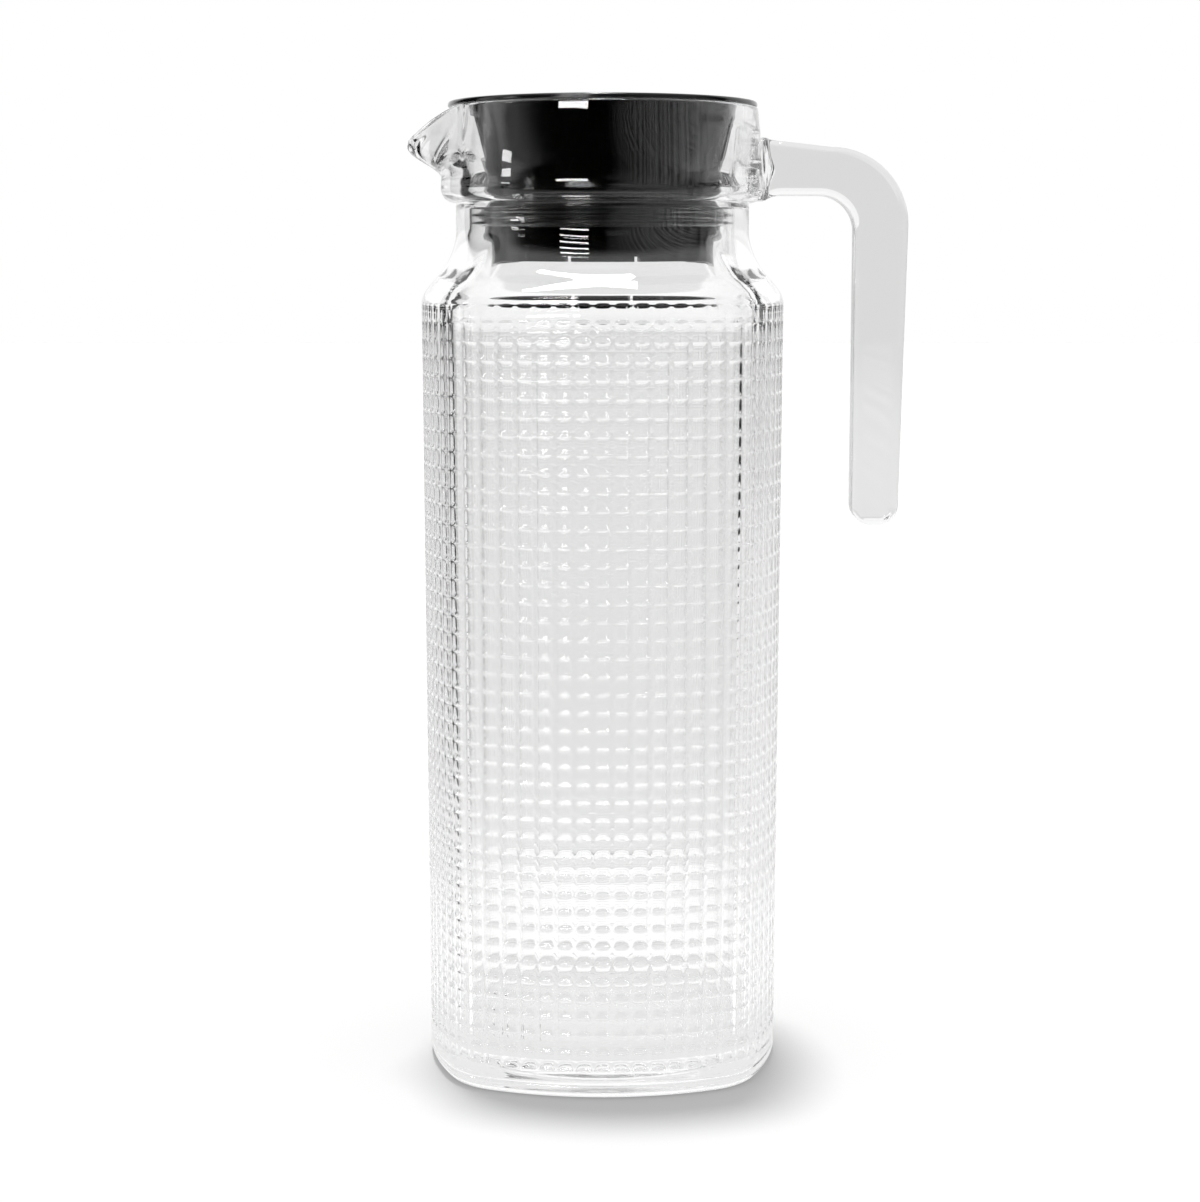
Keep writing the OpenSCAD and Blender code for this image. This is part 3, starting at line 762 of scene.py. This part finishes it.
class PITCHER_OT_lid(Operator):
    """Builds the lid: a disc and a skirt with a pouring window, straining slots and notches"""

    bl_idname = "pitcher.lid"
    bl_label = "Lid"

    def execute(self, context):
        form = VesselForm(context.scene.pitcher_vessel)
        d = context.scene.pitcher_lid
        rim_z = form.rim_z
        skirt_r = form.bore_r - d.skirt_room
        top_r = form.rim_in_r - d.skirt_gap
        disc_r = d.disc_d / 2
        taper_z = rim_z - d.taper_h
        low_z = rim_z - d.skirt_len
        seal_z = form.waist_z + (form.p.waist_h - d.seal_h) / 2
        groove = (seal_z - d.groove_gap, seal_z + d.seal_h + d.groove_gap)
        window = (rim_z - d.window_land - d.window_h, rim_z - d.window_land)
        def arc(start, end, count, edges):
            """Places from start to end, about evenly spaced, with one at every edge between them"""
            marks = sorted({start, end, *(e for e in edges if start < e < end)})
            out = []
            for a, b in zip(marks, marks[1:]):
                steps = max(1, round((b - a) / (end - start) * count))
                out += [a + (b - a) * k / steps for k in range(steps)]
            return out

        # Lines of points round the lid: (side of X, distance y) at the windows, and (0, angle) elsewhere
        half_y = skirt_r * sin(WINDOW_PART)
        slot_edges = [
            (i - (d.slots - 1) / 2) * d.slot_pitch + side * d.slot_w / 2
            for i in range(d.slots) for side in (-1, 1)
        ]
        notch_angles = [radians(90 + a) for a in NOTCH_PLACES]
        half_notch = asin(d.notch_w / 2 / skirt_r)
        far_edges = [a + side * half_notch for a in notch_angles for side in (-1, 1)]
        near_edges = [pi + e for e in far_edges]
        slot_lines = [(1, y) for y in arc(-half_y, half_y, SLOT_LINES, slot_edges)]
        far_side = [(0, a) for a in arc(WINDOW_PART, pi - WINDOW_PART, SIDE_LINES, far_edges)]
        window_edges = (-d.window_w / 2, d.window_w / 2)
        window_lines = [(-1, y) for y in arc(-half_y, half_y, WINDOW_LINES, window_edges)]
        window_lines = [(-1, half_y)] + window_lines[:0:-1]
        near_side = [(0, a) for a in arc(pi + WINDOW_PART, 2 * pi - WINDOW_PART, SIDE_LINES, near_edges)]
        lines = slot_lines + far_side + window_lines + near_side
        n = len(lines)
        fan_r = FAN_SHARE * skirt_r - d.skirt_t

        def point(line, r, z):
            """Point of a line at radius r and height z"""
            side, v = line
            if side == 0:
                return (r * cos(v), r * sin(v), z)
            if r > fan_r:
                return (side * sqrt(max(r * r - v * v, 0)), v, z)
            a = asin(v / skirt_r)
            return (side * r * cos(a), r * sin(a), z)

        def wall_r(z):
            """Outer radius of the skirt"""
            share_up = max(0, (z - taper_z) / d.taper_h)
            return skirt_r + share_up * (top_r - skirt_r)

        levels = [low_z, low_z + d.notch_h, groove[0], groove[0], groove[1], groove[1], taper_z, window[0]]
        levels += [window[0] + d.window_h / 2, window[1], rim_z]
        # Levels of the groove's floor, levels that share the inside of the one below, cells of the windows
        groove_floor, shared_inside, window_cells = (3, 4), (3, 5), (7, 8)
        points, faces = [], []

        def add_row(r, z):
            """Adds a ring of points and gives their numbers"""
            row = range(len(points), len(points) + n)
            points.extend([point(line, r, z) for line in lines])
            return row

        rows_out, rows_in = [], []
        for i, z in enumerate(levels):
            rows_out.append(add_row(skirt_r - d.groove_depth if i in groove_floor else wall_r(z), z))
        for i, z in enumerate(levels):
            rows_in.append(rows_in[-1] if i in shared_inside else add_row(wall_r(z) - d.skirt_t, z))

        def is_open(j, i):
            """Whether the cell between lines j and j + 1 and levels i and i + 1 is cut out"""
            (side, a), (other, b) = lines[j], lines[(j + 1) % n]
            mid = (a + b) / 2
            if side != other:
                return False
            if i in window_cells and side == 1:
                spot = mid / d.slot_pitch + (d.slots - 1) / 2
                near = abs(spot - round(spot)) * d.slot_pitch < d.slot_w / 2
                return near and 0 <= round(spot) < d.slots
            if i in window_cells and side == -1:
                return abs(mid) < d.window_w / 2
            return i == 0 and side == 0 and any(abs(mid % pi - v) < half_notch for v in notch_angles)

        last = len(levels) - 1
        for i in range(last):
            low, high = rows_out[i], rows_out[i + 1]
            low_in, high_in = rows_in[i], rows_in[i + 1]
            for j in range(n):
                k = (j + 1) % n
                if is_open(j, i):
                    continue
                faces.append((low[j], low[k], high[k], high[j]))
                if low_in is not high_in:
                    faces.append((low_in[k], low_in[j], high_in[j], high_in[k]))
                if i == 0 or is_open(j, i - 1):
                    faces.append((low[k], low[j], low_in[j], low_in[k]))
                if i < last - 1 and is_open(j, i + 1):
                    faces.append((high[j], high[k], high_in[k], high_in[j]))
                if is_open(k, i):
                    faces.append((low[k], low_in[k], high_in[k], high[k]))
                if is_open((j - 1) % n, i):
                    faces.append((low_in[j], low[j], high[j], high_in[j]))

        def close(before, profile, middle_z, upward):
            """Closes a ring of points with rings along a profile and a point on the axis"""
            pairs = [(j, (j + 1) % n) for j in range(n)]
            if not upward:
                pairs = [(k, j) for j, k in pairs]
            for r, z in profile:
                row = add_row(r, z)
                faces.extend([(before[a], before[b], row[b], row[a]) for a, b in pairs])
                before = row
            points.append((0, 0, middle_z))
            faces.extend([(before[a], before[b], len(points) - 1) for a, b in pairs])

        top_z = rim_z + d.disc_t
        recess_z = top_z - d.recess_h
        border_r = disc_r - d.border_w
        lower_edge = LOWER_EDGE * d.disc_edge
        profile = [(disc_r - lower_edge, rim_z), (disc_r, rim_z + lower_edge)]
        profile += [
            (disc_r - d.disc_edge * (1 - cos(q)), top_z - d.disc_edge * (1 - sin(q)))
            for q in np.linspace(0, pi / 2, 6)
        ]
        profile += [
            (border_r - d.recess_h * s, top_z - d.recess_h * s * s * (3 - 2 * s))
            for s in np.linspace(0, 1, 6)
        ]
        profile += [(k * border_r, recess_z) for k in (0.6, 0.2)]
        close(rows_out[-1], profile, recess_z, True)
        close(rows_in[-1], [(k * border_r, rim_z) for k in (0.6, 0.2)], rim_z, False)

        mesh = smooth_mesh("Lid_Cap", points, faces)
        plastic = moulded_plastic("Moulded_Lid", context.scene.pitcher_finish)
        obj = add_piece("Lid_Cap", mesh, "lid", ("lid_disc", "lid_skirt"), plastic)
        edge = obj.modifiers.new("Moulded edges", "BEVEL")
        edge.width = d.moulded_edge
        edge.segments = EDGE_SEGMENTS
        edge.limit_method = "ANGLE"
        edge.angle_limit = EDGE_ANGLE
        edge.harden_normals = True
        return {"FINISHED"}


class PITCHER_OT_seal(Operator):
    """Builds the sealing ring with its fins"""

    bl_idname = "pitcher.seal"
    bl_label = "Sealing ring"

    def execute(self, context):
        form = VesselForm(context.scene.pitcher_vessel)
        d = context.scene.pitcher_lid
        in_r = form.bore_r - d.skirt_room - d.groove_depth + d.groove_gap
        ring_r = in_r + d.seal_t
        fin_r = form.bore_r - d.fin_gap
        low_z = form.waist_z + (form.p.waist_h - d.seal_h) / 2
        top_z = low_z + d.seal_h
        pitch = d.seal_h / d.fins
        foot = FIN_FOOT * pitch
        half = d.fin_t / 2
        soft = RING_EDGE * d.fin_t
        # Radius of each place on a fin's flanks, and its distance from the middle of the fin
        flank = [(ring_r + s * (fin_r - ring_r), half + (1 - s) ** 2 * (foot - half)) for s in FIN_SHARES]
        profile = [(in_r, low_z), (in_r + soft, low_z), (ring_r - soft, low_z)]
        profile.append((ring_r, low_z + pitch / 2 - foot))
        round_edge = np.linspace(-pi / 2, pi / 2, 7)
        for i in range(d.fins):
            z = low_z + pitch * (i + 0.5)
            profile.append((ring_r, z - foot))
            profile += [(r, z - away) for r, away in flank]
            profile += [(fin_r + half * (cos(a) - 1), z + half * sin(a)) for a in round_edge]
            profile += [(r, z + away) for r, away in flank[::-1]]
            profile.append((ring_r, z + foot))
        profile += [(ring_r - soft, top_z), (in_r + soft, top_z), (in_r, top_z)]
        turn = np.linspace(0, 2 * pi, RING_STEPS + 1)[:-1]
        rings = [np.stack([r * np.cos(turn), r * np.sin(turn), 0 * turn + z], axis=1) for r, z in profile]
        grid = np.arange(len(profile) * len(turn)).reshape(len(profile), len(turn))
        up = np.roll(grid, -1, axis=0)
        sides = [grid, np.roll(grid, -1, axis=1), np.roll(up, -1, axis=1), up]
        faces = np.stack(sides, axis=-1).reshape(-1, 4)
        mesh = smooth_mesh("Lid_Seal", np.concatenate(rings).tolist(), faces.tolist())
        mesh.set_sharp_from_angle(angle=RING_SHARP)
        silicone = clear_silicone("Ring_Silicone", context.scene.pitcher_finish)
        add_piece("Lid_Seal", mesh, "seal", ("lid_seal",), silicone)
        return {"FINISHED"}


def mix(tree, share_socket, low, high):
    """Value between low and high, each a number or a socket"""
    rest = calc(tree, "SUBTRACT", 1.0, share_socket)
    return calc(tree, "ADD", calc(tree, "MULTIPLY", rest, low), calc(tree, "MULTIPLY", share_socket, high))


def by_ray(tree, seen, camera, rest):
    """What each kind of ray meets: in the glass and in mirrors, from the camera, and as light"""
    path = node(tree, "ShaderNodeLightPath")
    in_glass = calc(tree, "MAXIMUM", path.outputs["Is Glossy Ray"], path.outputs["Is Transmission Ray"])
    direct = mix(tree, path.outputs["Is Camera Ray"], rest, camera)
    return mix(tree, in_glass, direct, seen)


def room_in_front(tree, x, grey, studio):
    """Dim room in front of the vessel: dark on the left and grey on the right, with upright streaks"""
    streaks = node(tree, "ShaderNodeTexNoise", noise_dimensions="1D")
    tree.links.new(calc(tree, "MULTIPLY", x, STREAK_SCALE), streaks.inputs["W"])
    return calc(
        tree, "MULTIPLY",
        ramp(tree, x, *grey, studio.front_dark, studio.right_room),
        ramp(tree, streaks.outputs["Fac"], *STREAK_SPAN, *STREAK_LEVELS))


def side_cards(tree, x, y, seen, studio, away=None):
    """Dark cards at both sides of the vessel; on the floor, away is the distance from its axis"""
    turn = calc(tree, "ARCTAN2", x, y)
    for name, low, high, near in SIDE_CARDS:
        card = calc(
            tree, "MULTIPLY",
            ramp(tree, turn, radians(low - CARD_SOFT), radians(low + CARD_SOFT)),
            ramp(tree, turn, radians(high + CARD_SOFT), radians(high - CARD_SOFT)))
        if away is not None:
            card = calc(tree, "MULTIPLY", card, ramp(tree, away, near, CARD_FULL * near))
        seen = mix(tree, card, seen, getattr(studio, name))
    return seen


def floor_material(studio):
    """Pale floor, white and shadowed to the camera; the glass shows a staged table, with painted shade under
    the foot, and ground
    """
    material = bpy.data.materials.new("Pale_Floor")
    material.use_nodes = True
    tree = material.node_tree
    tree.nodes.clear()
    place = node(tree, "ShaderNodeNewGeometry")
    split = node(tree, "ShaderNodeSeparateXYZ")
    tree.links.new(place.outputs["Position"], split.inputs[0])
    x, y = split.outputs[0], split.outputs[1]
    away = calc(tree, "SQRT", calc(tree, "ADD", calc(tree, "MULTIPLY", x, x), calc(tree, "MULTIPLY", y, y)))
    r = studio.table_r
    far = mix(tree, ramp(tree, away, *GROUND_END), studio.ground_glow, studio.backdrop)
    ground = mix(tree, ramp(tree, away, r, r + studio.table_edge), studio.edge_glow, far)
    ground = side_cards(tree, x, y, ground, studio, away)
    # Painted shade on the table under the foot, seen only in glass and mirrors
    shade = ramp(tree, away, *(k * r for k in FOOT_SHADE))
    table = mix(tree, shade, studio.painted_foot_shade, studio.table_glow)
    seen = mix(tree, ramp(tree, away, r, TABLE_RIM * r), table, ground)
    seen = mix(tree, ramp(tree, y, *ROOM_FLOOR_END), room_in_front(tree, x, ROOM_FLOOR_GREY, studio), seen)
    light = node(tree, "ShaderNodeEmission")
    tree.links.new(by_ray(tree, seen, studio.floor_glow, 0.0), light.inputs["Strength"])
    tint = node(tree, "ShaderNodeCombineColor")
    for socket in tint.inputs:
        tree.links.new(by_ray(tree, 0.0, studio.floor_grey, studio.floor_grey), socket)
    flat = node(tree, "ShaderNodeBsdfDiffuse")
    tree.links.new(tint.outputs[0], flat.inputs[0])
    both = node(tree, "ShaderNodeAddShader")
    out = node(tree, "ShaderNodeOutputMaterial")
    tree.links.new(flat.outputs[0], both.inputs[0])
    tree.links.new(light.outputs[0], both.inputs[1])
    tree.links.new(both.outputs[0], out.inputs[0])
    return material


def studio_world(studio):
    """White backdrop; the glass shows a pale room, dark cards at the sides and a dim room in front"""
    world = bpy.data.worlds.new("Studio")
    world.use_nodes = True
    tree = world.node_tree
    tree.nodes.clear()
    place = node(tree, "ShaderNodeTexCoord")
    split = node(tree, "ShaderNodeSeparateXYZ")
    tree.links.new(place.outputs["Generated"], split.inputs[0])
    x, y, z = split.outputs
    backdrop = ramp(tree, z, *UPPER_START, studio.backdrop, studio.upper)
    seen = side_cards(tree, x, y, backdrop, studio)
    seen = mix(tree, ramp(tree, y, *ROOM_END), room_in_front(tree, x, ROOM_GREY, studio), seen)
    seen = mix(tree, ramp(tree, z, *CEILING_START), seen, studio.ceiling)
    light = node(tree, "ShaderNodeBackground")
    light.inputs["Color"].default_value = (1, 1, 1, 1)
    out = node(tree, "ShaderNodeOutputWorld")
    tree.links.new(by_ray(tree, seen, 1.0, studio.soft_light), light.inputs["Strength"])
    tree.links.new(light.outputs[0], out.inputs[0])
    return world


def soft_lamp(name, place, aim, width, height, watts):
    """Lit rectangle that faces a point; it shows in glass and mirrors and adds no light to plain surfaces"""
    lamp = bpy.data.lights.new(name, "AREA")
    lamp.shape = "RECTANGLE"
    lamp.size = width
    lamp.size_y = height
    lamp.energy = watts
    obj = bpy.data.objects.new(name, lamp)
    obj.location = place
    obj.rotation_euler = (Vector(aim) - Vector(place)).to_track_quat("-Z", "Y").to_euler()
    obj.visible_diffuse = False
    bpy.context.scene.collection.objects.link(obj)
    return obj


def lamp_column(name, column, watts):
    """Narrow lamps one above the other, which face the vessel"""
    (x, y, low), step, count, width, height = column
    for i in range(count):
        soft_lamp(f"{name}_{i}", (x, y, low + step * i), LAMP_AIM, width, height, watts)


class PITCHER_OT_stage(Operator):
    """Sets the camera, the pale floor and the soft light"""

    bl_idname = "pitcher.stage"
    bl_label = "Stage"

    def execute(self, context):
        scene = context.scene
        studio = scene.pitcher_studio
        camera = bpy.data.cameras.new("Camera")
        camera.lens = studio.lens
        camera.sensor_fit = "HORIZONTAL"
        camera.sensor_width = SENSOR_W
        camera.clip_end = VIEW_END
        eye = bpy.data.objects.new("Camera", camera)
        eye.location = (studio.camera_x, -studio.camera_y, studio.camera_z)
        eye.rotation_euler = (pi / 2 - studio.tilt, 0, 0)
        scene.collection.objects.link(eye)
        scene.camera = eye

        s = studio.floor_size
        mesh = bpy.data.meshes.new("Floor")
        mesh.from_pydata([(-s, -s, 0), (s, -s, 0), (s, s, 0), (-s, s, 0)], [], [(0, 1, 2, 3)])
        floor = bpy.data.objects.new("Floor", mesh)
        floor.data.materials.append(floor_material(studio))
        scene.collection.objects.link(floor)

        scene.world = studio_world(studio)
        key = bpy.data.lights.new("Key_Light", "SUN")
        key.energy = studio.key_light
        key.angle = studio.key_size
        above = bpy.data.objects.new("Key_Light", key)
        above.rotation_euler = Vector(KEY_FROM).to_track_quat("Z", "Y").to_euler()
        scene.collection.objects.link(above)
        lamp_column("Glint_Lamp", FRONT_LAMPS, studio.glint_power)
        lamp_column("Side_Glint", LEFT_LAMPS, studio.side_power)
        top = soft_lamp("Top_Lamp", *TOP_LAMP, studio.top_power)
        top.visible_transmission = False
        scene.view_settings.view_transform = "Standard"
        scene.cycles.caustics_refractive = False
        scene.cycles.caustics_reflective = False
        # Light crosses many faces of glass on its way through the squares and the corners
        scene.cycles.max_bounces = CROSSINGS
        scene.cycles.glossy_bounces = MIRRORINGS
        scene.cycles.transmission_bounces = CROSSINGS
        return {"FINISHED"}


class PITCHER_PT_panel(Panel):
    """Pieces of the pitcher in the sidebar"""

    bl_label = "Pitcher"
    bl_idname = "PITCHER_PT_panel"
    bl_space_type = "VIEW_3D"
    bl_region_type = "UI"
    bl_category = "Pitcher"

    def draw(self, context):
        for step in STEPS:
            self.layout.operator(step.bl_idname)
        for name in GROUPS:
            box = self.layout.box()
            group = getattr(context.scene, name)
            box.label(text=group.bl_rna.description)
            for key in group.bl_rna.properties.keys():
                if key not in ("rna_type", "name"):
                    box.prop(group, key)


GROUPS = {
    "pitcher_vessel": VesselSizes,
    "pitcher_handle": HandleSizes,
    "pitcher_lid": LidSizes,
    "pitcher_finish": Finishes,
    "pitcher_studio": Studio,
}
STEPS = (PITCHER_OT_vessel, PITCHER_OT_handle, PITCHER_OT_lid, PITCHER_OT_seal, PITCHER_OT_stage)
CLASSES = (*GROUPS.values(), *STEPS, PITCHER_PT_panel)


def register():
    for cls in CLASSES:
        bpy.utils.register_class(cls)
    for name, group in GROUPS.items():
        setattr(bpy.types.Scene, name, PointerProperty(type=group))


def unregister():
    for name in GROUPS:
        delattr(bpy.types.Scene, name)
    for cls in reversed(CLASSES):
        bpy.utils.unregister_class(cls)


def main():
    register()
    bpy.ops.pitcher.vessel()
    bpy.ops.pitcher.handle()
    bpy.ops.pitcher.lid()
    bpy.ops.pitcher.seal()
    bpy.ops.pitcher.stage()


if __name__ == "__main__":
    main()
